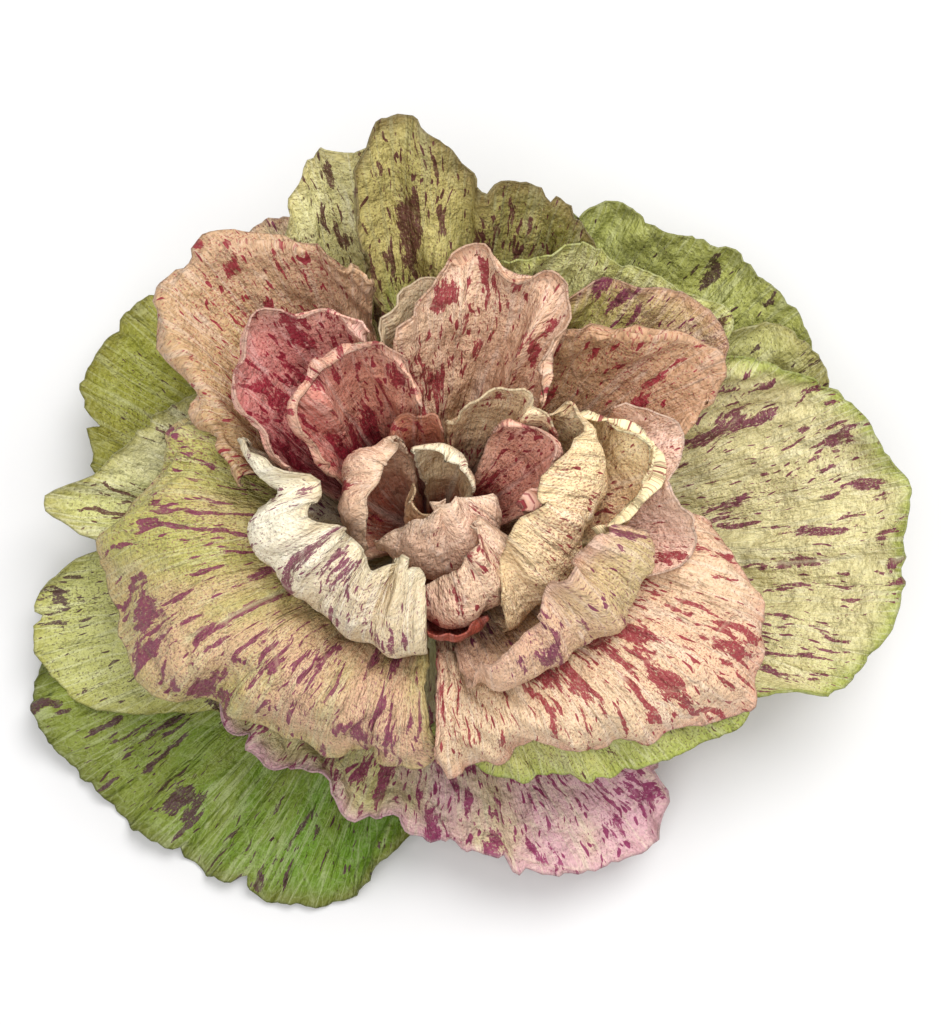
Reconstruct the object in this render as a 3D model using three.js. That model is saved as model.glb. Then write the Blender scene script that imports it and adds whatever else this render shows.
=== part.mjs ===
// A variegated radicchio head, opened into a rosette: a short cut stem with a spiral of separate leaves.
// Each leaf is a thin waved blade that spreads from the stem like a fan. Its spokes stand at fixed azimuths
// round the stem, and each spoke is one curve from the foot on the stem, through the middle, to the rim.
// Leaves are listed from the outermost to the heart, and each one is bent clear of those outside it.

import * as THREE from 'three';

// Driving dimensions, in millimetres and degrees
const BLADE = 1.0; // thickness of a leaf
const LAYER_GAP = 1.75; // least distance between the middles of two leaves
const FLOOR_CLEAR = 1.0; // least height of a leaf's middle over the surface that the head rests on
const STEM_CLEAR = 1.0; // from the stem's surface to the middle of a leaf's foot
const STEM_BOTTOM_REACH = 12.6;
const STEM_EDGE = 0.8;
const STEM_WIDEST = { reach: 14.5, height: 4 };
const STEM_SHOULDER = { reach: 12.5, height: 12 };
const STEM_NECK = { reach: 7.5, height: 26 };
const STEM_TIP = { reach: 3.5, height: 36 };
const STEM_TOP = 38;
const STEM_TOP_REACH = 0.5;
const STEM_SIDES = 24;
const STEP = 4; // degrees between the planes in which leaves are kept apart
const FINE = STEP; // degrees between the spokes of the wide outer leaves
const COARSE = 2 * STEP; // degrees between the spokes of the smaller inner leaves
const FOOT_LOW = 4.5; // height of the outermost leaf's foot
const FOOT_RISE = 0.82; // how much higher each next foot stands in the spiral
const ROLL_ROWS = 2; // rows of points past the rim on a leaf with a rolled edge
const ROLL_AT_SIDES = 0.3; // share of the roll that is left at the leaf's sides
const SECOND_WAVE = { share: 0.45, pace: 1.7, lag: 1 }; // a quicker wave laid over a leaf's own
const WAVE_ONSET = 2.4; // the higher, the nearer the waves stay to the rim
const JAG_INWARD = 0.6; // share of the uneven edge that is cut inwards
const MITER_LEAST = 0.8; // keeps the skins close where a spoke turns sharply
const AXIS_CLEAR = 1.5; // least reach of any point of a leaf
const BEND_PASSES = 30;
const SMOOTH_PASSES = 16; // passes in which a push is spread over the leaf round it
const SMOOTH_SHARE = 0.5; // share of a push that is spread in such a pass
const PUSH = 0.7; // share of a push made in one pass
const BEND_MOST = 14; // furthest that a point of a leaf is bent from where it grew
const SEED = 20;

// What the leaves look like: one colour for each ring of the head
const TINTS = {
  guard: { color: 0x8fa548, roughness: 0.62 },
  outer: { color: 0xc9c48a, roughness: 0.6 },
  rose: { color: 0xcf9f86, roughness: 0.58 },
  heart: { color: 0xe2cfa2, roughness: 0.55 },
  stem: { color: 0xe9e2c6, roughness: 0.5 },
};

// Each row is [azimuth, reach from the stem's axis, height]. The rim row is the leaf's edge, and its first
// and last azimuths are the leaf's sides. The middle row is where each spoke passes halfway.
// roll is [length, turn] past the rim: a positive turn rolls the edge in, a negative one out and down.
const LEAVES = [
  {
    name: 'guard_front_left', tint: 'guard', step: FINE, rows: 7, waves: 5, depth: 2.4, jag: 2.6,
    rim: [[188, 82, 14], [192, 106, 13], [198, 118, 11], [204, 123, 9], [211, 118, 6], [219, 116, 4],
      [227, 114, 4], [235, 111, 4], [243, 109, 3.5], [250, 106, 4], [256, 101, 6], [264, 85, 8],
      [272, 68, 8], [280, 52, 6]],
    middle: [[188, 56, 8], [230, 62, 3], [280, 38, 4]],
  },
  {
    name: 'guard_left', tint: 'guard', step: FINE, rows: 7, waves: 4, depth: 2.5, jag: 1.8,
    rim: [[124, 68, 36], [130, 88, 34], [136, 101, 32], [141, 109, 30], [149, 110, 27], [156, 109, 26],
      [161, 104, 25], [168, 98, 23], [176, 90, 18], [184, 78, 12], [192, 60, 8]],
    middle: [[124, 48, 20], [150, 60, 7], [192, 46, 10]],
  },
  {
    name: 'guard_pale_left', tint: 'guard', step: FINE, rows: 7, waves: 4, depth: 2.5, jag: 2.4,
    rim: [[168, 66, 30], [176, 84, 26], [184, 104, 21], [190, 114, 16], [196, 116, 14], [202, 112, 11],
      [208, 100, 11], [214, 84, 12], [220, 66, 14]],
    middle: [[168, 48, 16], [194, 62, 9], [220, 46, 10]],
  },
  {
    name: 'guard_back_right', tint: 'guard', step: FINE, rows: 7, waves: 5, depth: 2.8, jag: 2.4,
    rim: [[4, 72, 9], [10, 96, 20], [16, 111, 31], [26, 117, 37], [33, 118, 42], [41, 114, 44],
      [49, 109, 46], [56, 104, 48], [64, 98, 52], [72, 88, 56], [80, 74, 58], [88, 58, 58]],
    middle: [[4, 52, 4], [45, 62, 5], [88, 44, 20]],
  },
  {
    name: 'guard_right_back', tint: 'guard', step: FINE, rows: 7, waves: 3, depth: 2.2, jag: 2.4,
    rim: [[0, 80, 16], [6, 104, 28], [13, 118, 35], [18, 120, 38], [23, 118, 41], [29, 112, 44],
      [34, 98, 46], [40, 78, 47]],
    middle: [[0, 54, 4], [20, 62, 6], [40, 50, 18]],
  },
  {
    name: 'outer_front', tint: 'outer', step: FINE, rows: 7, waves: 7, depth: 2.2, jag: 2.6,
    rim: [[204, 52, 32], [212, 68, 32], [225, 77, 30], [237, 77, 28], [248, 76, 28], [256, 79, 27],
      [265, 82, 26], [272, 85, 25], [280, 92, 24], [288, 97, 22], [295, 101, 19], [301, 103, 18],
      [307, 101, 20], [311, 95, 24], [316, 84, 28], [322, 66, 30]],
    middle: [[204, 42, 20], [240, 50, 12], [270, 52, 10], [300, 56, 9], [322, 46, 18]],
  },
  {
    name: 'back_left_small', tint: 'outer', step: FINE, rows: 6, waves: 2, depth: 2.0, jag: 1.6,
    rim: [[102, 66, 58], [110, 86, 60], [116, 91, 60], [123, 96, 55], [129, 97, 49], [135, 94, 46],
      [141, 76, 42], [146, 58, 42]],
    middle: [[102, 48, 32], [124, 52, 26], [146, 44, 26]],
  },
  {
    name: 'outer_left', tint: 'outer', step: FINE, rows: 7, waves: 3, depth: 2.4, jag: 1.6,
    rim: [[144, 56, 56], [152, 70, 55], [160, 82, 50], [166, 88, 47], [172, 94, 44], [176, 108, 40],
      [180, 101, 37], [184, 88, 37], [192, 74, 38], [200, 58, 40]],
    middle: [[144, 42, 38], [172, 54, 28], [200, 44, 28]],
  },
  {
    name: 'outer_right', tint: 'outer', step: FINE, rows: 7, waves: 6, depth: 2.6, jag: 1.8,
    rim: [[-44, 60, 40], [-38, 76, 41], [-32, 94, 42], [-26, 112, 42], [-21, 120, 44], [-16, 126, 45],
      [-10, 128, 47], [-3, 128, 50], [4, 128, 51], [11, 121, 55], [16, 114, 57], [22, 103, 59],
      [28, 88, 60], [34, 66, 58]],
    middle: [[-44, 44, 20], [-10, 62, 10], [10, 62, 16], [34, 50, 36]],
  },
  {
    name: 'outer_back_left', tint: 'outer', step: FINE, rows: 7, waves: 3, depth: 2.4, jag: 1.8,
    rim: [[84, 64, 62], [90, 80, 77], [97, 91, 87], [103, 93, 86], [109, 96, 82], [115, 90, 73],
      [120, 80, 68], [128, 60, 62]],
    middle: [[84, 54, 46], [107, 58, 40], [128, 46, 40]],
  },
  {
    name: 'outer_back', tint: 'outer', step: FINE, rows: 7, waves: 4, depth: 2.8, jag: 2.2,
    rim: [[44, 54, 50], [50, 67, 57], [56, 80, 65], [63, 86, 74], [69, 86, 80], [75, 86, 84],
      [80, 83, 86], [86, 88, 91], [92, 94, 97], [98, 96, 100], [103, 82, 97], [108, 62, 86]],
    middle: [[44, 44, 38], [75, 56, 46], [108, 46, 48]],
  },
  {
    name: 'outer_front_right', tint: 'outer', step: FINE, rows: 7, waves: 5, depth: 1.6, jag: 1.2,
    rim: [[268, 50, 40], [276, 62, 39], [284, 71, 39], [293, 75, 39], [303, 82, 39], [311, 87, 40],
      [320, 95, 42], [327, 99, 44], [333, 92, 46], [340, 74, 46]],
    middle: [[268, 42, 44], [300, 52, 46], [340, 50, 48]],
  },
  {
    name: 'outer_front_left', tint: 'outer', step: FINE, rows: 8, waves: 6, depth: 1.8, jag: 1.2,
    rim: [[152, 60, 64], [158, 69, 61], [166, 70, 60], [174, 78, 56], [180, 84, 52], [186, 89, 48],
      [197, 91, 42], [204, 89, 42], [212, 86, 42], [219, 80, 42], [226, 76, 42], [233, 73, 42],
      [240, 70, 44], [248, 66, 44], [256, 65, 46], [263, 67, 46], [268, 64, 48], [272, 56, 54]],
    middle: [[152, 48, 58], [172, 54, 64], [209, 53, 65], [240, 51, 65], [272, 45, 60]],
  },
  {
    name: 'front_right', tint: 'rose', step: FINE, rows: 8, waves: 6, depth: 1.8, jag: 1.6,
    rim: [[268, 58, 52], [273, 70, 48], [278, 69, 46], [285, 67, 48], [294, 69, 50], [304, 77, 49],
      [310, 81, 48], [316, 85, 50], [321, 92, 50], [326, 98, 50], [331, 97, 53], [336, 95, 56],
      [342, 90, 60], [348, 82, 65], [354, 76, 68], [360, 64, 72]],
    middle: [[268, 40, 58], [278, 48, 59], [295, 54, 61], [313, 58, 62], [327, 60, 64], [345, 57, 66],
      [360, 46, 64]],
  },
  {
    name: 'back_right_pale', tint: 'outer', step: FINE, rows: 7, waves: 4, depth: 2.2, jag: 1.6,
    rim: [[20, 66, 70], [26, 84, 72], [31, 92, 73], [36, 91, 74], [43, 84, 77], [50, 80, 80],
      [60, 75, 84], [66, 69, 84], [72, 64, 84], [80, 54, 84]],
    middle: [[20, 48, 40], [50, 50, 48], [80, 42, 52]],
  },
  {
    name: 'back_right_olive', tint: 'outer', step: FINE, rows: 7, waves: 4, depth: 2.0, jag: 1.6,
    rim: [[12, 60, 64], [18, 78, 67], [24, 88, 70], [29, 92, 73], [34, 90, 76], [40, 83, 80],
      [48, 76, 84], [54, 66, 84], [60, 54, 84]],
    middle: [[12, 46, 44], [36, 52, 50], [60, 40, 56]],
  },
  {
    name: 'left_back', tint: 'rose', step: FINE, rows: 8, waves: 5, depth: 2.2, jag: 1.2, roll: [7, -70],
    rim: [[102, 46, 84], [108, 56, 87], [114, 62, 88], [119, 69, 88], [124, 75, 87], [130, 81, 86],
      [136, 84, 84], [141, 85, 82], [146, 83, 80], [150, 76, 78], [154, 67, 78], [160, 61, 76],
      [168, 56, 76], [174, 51, 76], [180, 42, 74]],
    middle: [[102, 40, 60], [140, 53, 57], [156, 46, 62], [168, 42, 64], [180, 37, 62]],
  },
  {
    name: 'right_back', tint: 'rose', step: FINE, rows: 7, waves: 4, depth: 2.0, jag: 1.4, roll: [5, -60],
    rim: [[8, 52, 76], [14, 66, 78], [20, 76, 81], [26, 78, 86], [32, 70, 88], [38, 60, 89],
      [44, 53, 90], [50, 49, 90], [56, 42, 90]],
    middle: [[8, 42, 56], [30, 46, 62], [56, 34, 66]],
  },
  {
    name: 'right_mid', tint: 'rose', step: COARSE, rows: 7, waves: 4, depth: 2.0, jag: 1.4,
    rim: [[-24, 58, 70], [-16, 67, 75], [-9, 70, 80], [-2, 69, 83], [6, 70, 85], [12, 71, 86],
      [18, 66, 88], [24, 54, 86]],
    middle: [[-24, 48, 54], [0, 52, 58], [24, 43, 62]],
  },
  {
    name: 'front_left_in', tint: 'heart', step: FINE, rows: 8, waves: 5, depth: 2.4, jag: 1.6,
    rim: [[160, 48, 81], [166, 48, 85], [171, 45, 88], [177, 37, 90], [185, 31, 90], [194, 32, 88],
      [202, 30, 88], [209, 26, 90], [220, 26, 91], [232, 27, 90], [244, 25, 88], [252, 22, 88],
      [264, 23, 86], [272, 28, 82]],
    middle: [[160, 40, 67], [174, 46, 67], [185, 50, 65], [206, 48, 61], [231, 43, 60], [253, 43, 62],
      [272, 42, 59]],
  },
  {
    name: 'left_in', tint: 'rose', step: COARSE, rows: 7, waves: 4, depth: 1.8, jag: 1.2, roll: [5, 60],
    rim: [[112, 38, 92], [120, 48, 93], [130, 55, 93], [138, 59, 91], [145, 60, 90], [154, 55, 88],
      [162, 48, 86], [170, 41, 84], [178, 34, 80]],
    middle: [[112, 32, 64], [145, 41, 64], [162, 38, 66], [178, 30, 64]],
  },
  {
    name: 'back_cream', tint: 'rose', step: COARSE, rows: 7, waves: 3, depth: 1.2, jag: 1.0,
    rim: [[80, 48, 93], [90, 54, 95], [100, 52, 95], [112, 49, 95], [124, 46, 94], [136, 42, 92],
      [144, 34, 88]],
    middle: [[80, 38, 66], [112, 36, 66], [144, 28, 64]],
  },
  {
    name: 'back_in', tint: 'rose', step: FINE, rows: 8, waves: 3, depth: 1.8, jag: 1.2, roll: [5, 60],
    rim: [[32, 30, 90], [38, 38, 93], [44, 44, 96], [51, 54, 98], [57, 58, 98], [62, 58, 99],
      [68, 57, 99], [74, 58, 99], [80, 55, 98], [86, 52, 98], [93, 46, 97], [100, 39, 97],
      [108, 28, 95]],
    middle: [[32, 26, 68], [65, 38, 68], [108, 24, 70]],
  },
  {
    name: 'left_heart', tint: 'rose', step: COARSE, rows: 8, waves: 4, depth: 1.6, jag: 1.0, roll: [8, 80],
    rim: [[96, 20, 95], [104, 30, 98], [112, 36, 98], [120, 40, 98], [130, 43, 97], [139, 44, 96],
      [148, 44, 95], [156, 40, 93], [164, 34, 89], [176, 26, 83]],
    middle: [[96, 20, 74], [130, 34, 70], [152, 32, 70], [176, 23, 68]],
  },
  {
    name: 'front_right_in', tint: 'heart', step: FINE, rows: 8, waves: 5, depth: 2.2, jag: 1.4,
    rim: [[276, 47, 74], [283, 50, 80], [292, 47, 84], [302, 47, 86], [312, 42, 88], [318, 40, 89],
      [325, 42, 90], [333, 43, 91], [340, 45, 92], [346, 49, 90], [352, 48, 84]],
    middle: [[276, 43, 55], [293, 50, 58], [311, 54, 59], [328, 60, 61], [342, 60, 65], [352, 54, 64]],
  },
  {
    name: 'right_in', tint: 'rose', step: COARSE, rows: 7, waves: 3, depth: 1.8, jag: 1.2, roll: [4, 50],
    rim: [[-16, 44, 76], [-10, 52, 82], [-5, 58, 88], [0, 60, 91], [6, 60, 94], [12, 55, 95],
      [18, 48, 93], [24, 40, 90]],
    middle: [[-16, 43, 60], [0, 50, 66], [24, 40, 70]],
  },
  {
    name: 'right_heart', tint: 'heart', step: COARSE, rows: 8, waves: 4, depth: 1.6, jag: 1.2,
    rim: [[296, 34, 72], [304, 30, 78], [312, 27, 82], [320, 24, 85], [330, 25, 89], [337, 28, 92],
      [344, 31, 94], [352, 30, 96], [361, 31, 97], [369, 38, 98], [376, 43, 98], [384, 43, 98],
      [392, 37, 96]],
    middle: [[296, 36, 54], [319, 41, 60], [335, 45, 64], [350, 47, 68], [366, 47, 74], [392, 38, 78]],
  },
  {
    name: 'back_heart', tint: 'heart', step: COARSE, rows: 7, waves: 3, depth: 1.4, jag: 1.0,
    rim: [[16, 36, 95], [24, 37, 97], [34, 35, 98], [44, 31, 98], [56, 24, 97], [66, 18, 95], [76, 14, 90]],
    middle: [[16, 34, 76], [46, 28, 76], [76, 16, 74]],
  },
  {
    name: 'shadow_front', tint: 'rose', step: COARSE, rows: 6, waves: 2, depth: 1.6, jag: 1.2,
    rim: [[256, 28, 60], [264, 34, 66], [272, 38, 70], [280, 40, 71], [288, 38, 69], [296, 32, 66]],
    middle: [[256, 28, 46], [276, 33, 50], [296, 30, 48]],
  },
  {
    name: 'front_fold', tint: 'heart', step: COARSE, rows: 7, waves: 4, depth: 1.8, jag: 1.2,
    rim: [[248, 24, 64], [256, 27, 68], [266, 27, 73], [276, 26, 78], [286, 25, 82], [294, 24, 85],
      [302, 22, 88], [310, 19, 90], [320, 15, 91], [328, 13, 89]],
    middle: [[248, 27, 50], [262, 34, 54], [285, 38, 58], [305, 35, 64], [328, 25, 70]],
  },
  {
    name: 'right_bulge', tint: 'rose', step: COARSE, rows: 6, waves: 2, depth: 1.2, jag: 1.0, roll: [5, 50],
    rim: [[-16, 22, 82], [-6, 29, 86], [6, 33, 89], [18, 32, 91], [28, 27, 91], [40, 20, 88]],
    middle: [[-16, 24, 66], [12, 26, 70], [40, 18, 72]],
  },
  {
    name: 'small_back', tint: 'rose', step: COARSE, rows: 7, waves: 2, depth: 1.0, jag: 0.8,
    rim: [[76, 16, 87], [84, 19, 90], [92, 20, 91], [100, 20, 90], [112, 19, 88], [128, 15, 84]],
    middle: [[76, 13, 70], [100, 16, 71], [128, 13, 70]],
  },
  {
    name: 'heart_left', tint: 'heart', step: COARSE, rows: 7, waves: 3, depth: 1.2, jag: 0.8,
    rim: [[120, 12, 91], [130, 13, 92], [144, 13, 92], [158, 12, 92], [174, 13, 91], [190, 15, 90],
      [204, 17, 88], [214, 20, 83], [224, 22, 76]],
    middle: [[120, 12, 76], [140, 18, 77], [160, 24, 76], [182, 25, 72], [200, 24, 68], [224, 21, 62]],
  },
  {
    name: 'heart_front', tint: 'heart', step: COARSE, rows: 7, waves: 3, depth: 1.2, jag: 0.8,
    rim: [[216, 23, 70], [224, 21, 76], [232, 18, 81], [242, 13, 87], [256, 9, 89], [272, 7, 91],
      [290, 6, 91], [310, 7, 92], [326, 9, 91], [338, 11, 89], [352, 13, 84]],
    middle: [[216, 20, 60], [240, 19, 63], [275, 20, 64], [300, 21, 66], [328, 20, 70], [352, 16, 70]],
  },
  {
    name: 'heart_back', tint: 'heart', step: COARSE, rows: 6, waves: 2, depth: 0.8, jag: 0.6,
    rim: [[-8, 9, 82], [8, 9, 85], [32, 7, 87], [64, 6, 88], [96, 7, 88], [120, 8, 85]],
    middle: [[-8, 11, 70], [26, 12, 74], [64, 12, 76], [120, 9, 74]],
  },
  {
    name: 'heart_curl', tint: 'heart', step: COARSE, rows: 5, waves: 1, depth: 0.6, jag: 0.6,
    rim: [[152, 6, 78], [176, 7, 81], [208, 8, 83], [240, 7, 82], [272, 5, 78]],
    middle: [[152, 7, 62], [208, 9, 64], [272, 7, 62]],
  },
];

const radians = (degrees) => (degrees * Math.PI) / 180;

// A seeded random number between 0 and 1
function makeRandom(seed) {
  let state = seed;
  return () => {
    state = (state * 1664525 + 1013904223) % 4294967296;
    return state / 4294967296;
  };
}

// Reach and height on a row of points, on a smooth curve through them, at any azimuth
function rowAt(row, azimuth) {
  if (azimuth <= row[0][0]) return new THREE.Vector2(row[0][1], row[0][2]);
  const last = row.length - 1;
  if (azimuth >= row[last][0]) return new THREE.Vector2(row[last][1], row[last][2]);
  const i = row.findIndex((point) => point[0] > azimuth) - 1;
  const slope = (k, axis) => {
    const before = row[Math.max(k - 1, 0)];
    const after = row[Math.min(k + 1, last)];
    return (after[axis] - before[axis]) / (after[0] - before[0]);
  };
  const span = row[i + 1][0] - row[i][0];
  const t = (azimuth - row[i][0]) / span;
  const value = (axis) => {
    const a = row[i][axis];
    const b = row[i + 1][axis];
    const leave = slope(i, axis) * span;
    const arrive = slope(i + 1, axis) * span;
    const bend = (2 * (a - b) + leave + arrive) * t + 3 * (b - a) - 2 * leave - arrive;
    return a + leave * t + bend * t * t;
  };
  return new THREE.Vector2(value(1), value(2));
}

// The stem's outline from its tip down to the cut, so that the leaves' side of it is on the left
const stemOutline = [
  new THREE.Vector2(STEM_TOP_REACH, STEM_TOP),
  new THREE.Vector2(STEM_TIP.reach, STEM_TIP.height),
  new THREE.Vector2(STEM_NECK.reach, STEM_NECK.height),
  new THREE.Vector2(STEM_SHOULDER.reach, STEM_SHOULDER.height),
  new THREE.Vector2(STEM_WIDEST.reach, STEM_WIDEST.height),
  new THREE.Vector2(STEM_BOTTOM_REACH + STEM_EDGE, STEM_EDGE),
  new THREE.Vector2(STEM_BOTTOM_REACH, 0),
];

function stemReach(height) {
  for (let i = 0; i < stemOutline.length - 1; i += 1) {
    const upper = stemOutline[i];
    const lower = stemOutline[i + 1];
    if (height <= upper.y && height >= lower.y) {
      return lower.x + ((upper.x - lower.x) * (height - lower.y)) / (upper.y - lower.y);
    }
  }
  return stemOutline[0].x;
}

// The left side of the line from a to b: towards the head's inside on a leaf, outwards on the stem
function leftOf(a, b) {
  return new THREE.Vector2(a.y - b.y, b.x - a.x).normalize();
}

// The nearest point of a line of points to p, the side that p is on, and how far along it lies
function nearest(line, p) {
  let best = null;
  for (let i = 0; i < line.length - 1; i += 1) {
    const a = line[i];
    const b = line[i + 1];
    const along = b.clone().sub(a);
    const t = THREE.MathUtils.clamp(p.clone().sub(a).dot(along) / along.lengthSq(), 0, 1);
    const foot = a.clone().addScaledVector(along, t);
    const distance = foot.distanceTo(p);
    if (best === null || distance < best.distance - 1e-9) {
      best = { distance, foot, i, t };
    }
  }
  const side = leftOf(line[best.i], line[best.i + 1]);
  if (best.t === 1 && best.i + 2 < line.length) {
    side.add(leftOf(line[best.i + 1], line[best.i + 2])).normalize();
  }
  best.side = side;
  best.height = p.clone().sub(best.foot).dot(side);
  best.past = best.i + 2 === line.length && best.t === 1;
  return best;
}

// One spoke of a leaf, from its foot on the stem to its rim, with the edge rolled over at the end
function spoke(leaf, azimuth, share) {
  const foot = new THREE.Vector2(stemReach(leaf.foot) + STEM_CLEAR, leaf.foot);
  const middle = rowAt(leaf.middle, azimuth);
  const rim = rowAt(leaf.rim, azimuth);
  const pull = middle.clone().multiplyScalar(2).sub(foot.clone().add(rim).multiplyScalar(0.5));
  const bladeRows = leaf.roll ? leaf.rows - ROLL_ROWS : leaf.rows;
  const points = [];
  for (let row = 0; row < bladeRows; row += 1) {
    const t = row / (bladeRows - 1);
    const point = foot.clone().multiplyScalar((1 - t) * (1 - t));
    point.addScaledVector(pull, 2 * t * (1 - t)).addScaledVector(rim, t * t);
    points.push(point);
  }
  if (leaf.roll) {
    const [length, turn] = leaf.roll;
    const rolled = ROLL_AT_SIDES + (1 - ROLL_AT_SIDES) * Math.sin(Math.PI * share);
    let heading = Math.atan2(rim.y - pull.y, rim.x - pull.x);
    for (let row = 0; row < ROLL_ROWS; row += 1) {
      heading += radians((turn * rolled) / ROLL_ROWS);
      const step = (length * rolled) / ROLL_ROWS;
      points.push(points[points.length - 1].clone()
        .add(new THREE.Vector2(Math.cos(heading), Math.sin(heading)).multiplyScalar(step)));
    }
  }
  return points;
}

// All of a leaf's spokes, with its waves growing towards the rim and its edge cut in and out
function unfold(leaf, random) {
  const count = Math.round((leaf.last - leaf.first) / leaf.step) + 1;
  const phase = random() * 2 * Math.PI;
  const spokes = [];
  for (let i = 0; i < count; i += 1) {
    const share = i / (count - 1);
    const points = spoke(leaf, leaf.first + i * leaf.step, share);
    const turn = 2 * Math.PI * leaf.waves * share + phase;
    const wave = Math.sin(turn) + SECOND_WAVE.share * Math.sin(SECOND_WAVE.pace * turn + SECOND_WAVE.lag);
    const waved = points.map((point, row) => {
      const before = points[Math.max(row - 1, 0)];
      const after = points[Math.min(row + 1, points.length - 1)];
      const onset = (row / (points.length - 1)) ** WAVE_ONSET;
      return point.clone().addScaledVector(leftOf(before, after), leaf.depth * wave * onset);
    });
    const rim = waved[waved.length - 1];
    const inside = waved[waved.length - 2];
    const outward = rim.clone().sub(inside).normalize();
    rim.addScaledVector(outward, leaf.jag * (random() - JAG_INWARD));
    spokes.push(waved);
  }
  return spokes;
}

// A leaf's spoke in the plane at an azimuth, or the one halfway between two of its spokes
function lineAt(leaf, azimuth) {
  const place = (azimuth - leaf.first) / leaf.step;
  if (place < 0 || place > leaf.spokes.length - 1) return null;
  const low = Math.floor(place);
  if (place === low) return leaf.spokes[low];
  const flat = Math.cos(radians(leaf.step / 2));
  return leaf.spokes[low].map((point, row) => {
    const middle = point.clone().add(leaf.spokes[low + 1][row]).multiplyScalar(0.5);
    middle.x *= flat;
    return middle;
  });
}

// The same plane seen a whole turn on or back, where a leaf's azimuths run past 360 or below 0
function lineRound(leaf, azimuth) {
  return lineAt(leaf, azimuth) ?? lineAt(leaf, azimuth + 360) ?? lineAt(leaf, azimuth - 360);
}

function shift(leaf, azimuth, row, move) {
  const place = (azimuth - leaf.first) / leaf.step;
  const low = Math.floor(place);
  leaf.moves[low][row].add(move);
  if (place !== low) leaf.moves[low + 1][row].add(move);
}

// The moves that keep the points of one line on the inner side of another, by the gap
function pushIn(line, other, gap, move) {
  line.forEach((point, row) => {
    const near = nearest(other, point);
    if (near.past) {
      if (near.distance < gap) {
        const away = point.clone().sub(near.foot).normalize();
        if (near.height < 0 && away.dot(near.side) < 0) away.copy(near.side);
        move(row, away.multiplyScalar(gap - near.distance));
      }
    } else if (near.height < gap) {
      move(row, near.side.clone().multiplyScalar(gap - near.height));
    }
  });
}

// The same for one line's stretches, past the points of the other
function pushOver(line, other, gap, move) {
  other.forEach((point) => {
    const near = nearest(line, point);
    const free = near.past || (near.i === 0 && near.t === 0);
    if (!free && near.height > -gap) {
      const back = near.side.clone().multiplyScalar(gap + near.height);
      move(near.i, back.clone().multiplyScalar(1 - near.t));
      move(near.i + 1, back.multiplyScalar(near.t));
    }
  });
}

// Bends a leaf clear of the stem, the floor and every leaf outside it
function bendClear(leaf, outside) {
  const rows = leaf.rows;
  const start = leaf.spokes.map((points) => points.map((point) => point.clone()));
  for (let pass = 0; pass < BEND_PASSES; pass += 1) {
    leaf.moves = leaf.spokes.map((points) => points.map(() => new THREE.Vector2()));
    for (let azimuth = leaf.first; azimuth <= leaf.last; azimuth += STEP) {
      const line = lineAt(leaf, azimuth);
      const move = (row, by) => shift(leaf, azimuth, row, by.multiplyScalar(PUSH));
      pushIn(line, stemOutline, STEM_CLEAR, move);
      outside.forEach((other) => {
        const beside = lineRound(other, azimuth);
        if (!beside) return;
        pushIn(line, beside, LAYER_GAP, move);
        pushOver(line, beside, LAYER_GAP, move);
      });
    }
    const offsets = leaf.spokes.map((points, i) => points.map((point, row) => {
      const step = leaf.moves[i][row].clampLength(0, LAYER_GAP);
      return point.clone().add(step).sub(start[i][row]).clampLength(0, BEND_MOST);
    }));
    const smooth = pass < SMOOTH_PASSES ? SMOOTH_SHARE : 0;
    leaf.spokes = offsets.map((line, i) => line.map((offset, row) => {
      const left = offsets[Math.max(i - 1, 0)][row];
      const right = offsets[Math.min(i + 1, offsets.length - 1)][row];
      const below = line[Math.max(row - 1, 0)];
      const above = line[Math.min(row + 1, rows - 1)];
      const mean = left.clone().add(right).add(below).add(above).multiplyScalar(0.25);
      return start[i][row].clone().add(offset.clone().lerp(mean, smooth));
    }));
    leaf.spokes.forEach((points) => {
      points[0].x = stemReach(points[0].y) + STEM_CLEAR;
      points.forEach((point) => {
        point.x = Math.max(point.x, AXIS_CLEAR);
        point.y = Math.max(point.y, FLOOR_CLEAR);
      });
    });
  }
}

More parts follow.
